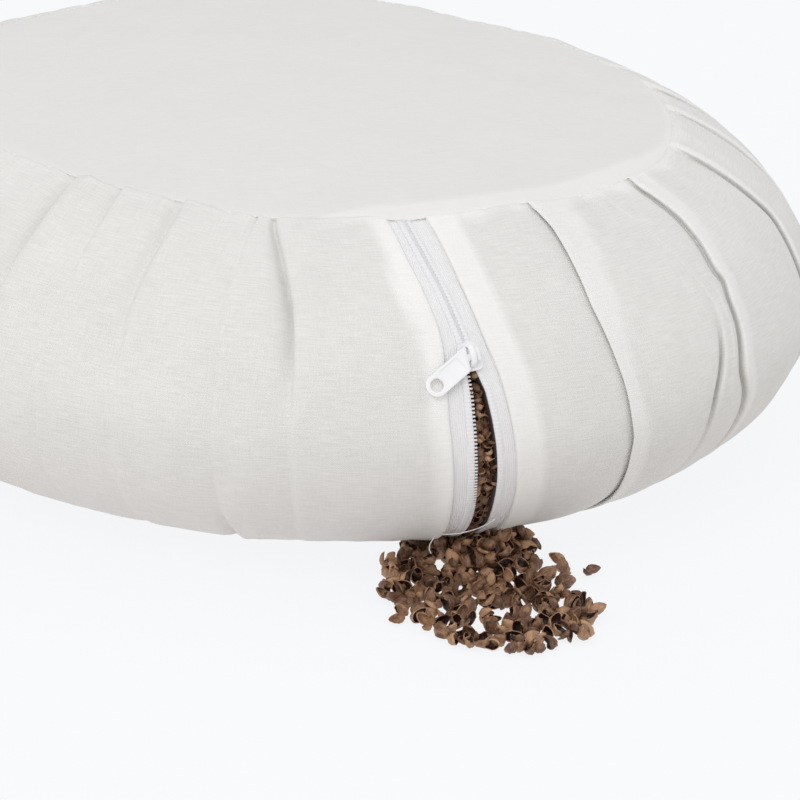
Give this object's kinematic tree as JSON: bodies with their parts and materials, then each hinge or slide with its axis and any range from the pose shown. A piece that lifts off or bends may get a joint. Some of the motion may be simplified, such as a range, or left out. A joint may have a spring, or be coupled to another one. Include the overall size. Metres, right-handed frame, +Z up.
{
  "type": "zafu meditation cushion",
  "caption": "Round, low floor cushion of natural cotton with a knife-pleated side band, its side zip half open and buckwheat hulls spilt on the floor in front of it.",
  "frame": {"origin": "centre of the underside, on the floor", "axes": "+Z up out of the top panel, -Y out of the side with the zip, +X to the right of someone who faces the zip"},
  "size_m": [0.4006, 0.4374, 0.1287],
  "materials": {
    "natural_cotton": "matt plain weave, unbleached, with fine slubs",
    "zip_tape": "matt woven tape, white",
    "nylon_coil": "white nylon, satin",
    "white_enamel": "white enamel, satin",
    "buckwheat_hull": "dry dark brown plant hull, matt to satin",
    "sewing_thread": "white sewing thread"
  },
  "bodies": {
    "root": {"cushion_body": "natural_cotton", "top_panel": "natural_cotton", "bottom_panel": "natural_cotton", "zip_tape_left": "zip_tape", "zip_tape_right": "zip_tape", "zip_coil_left": "nylon_coil", "zip_coil_right": "nylon_coil", "zip_slider": "white_enamel", "zip_pull": "white_enamel", "filling_in_opening": "buckwheat_hull", "spilled_hulls": "buckwheat_hull", "loose_hull_1": "buckwheat_hull", "loose_hull_2": "buckwheat_hull", "loose_hull_3": "buckwheat_hull", "loose_thread": "sewing_thread"}
  },
  "joints": []
}
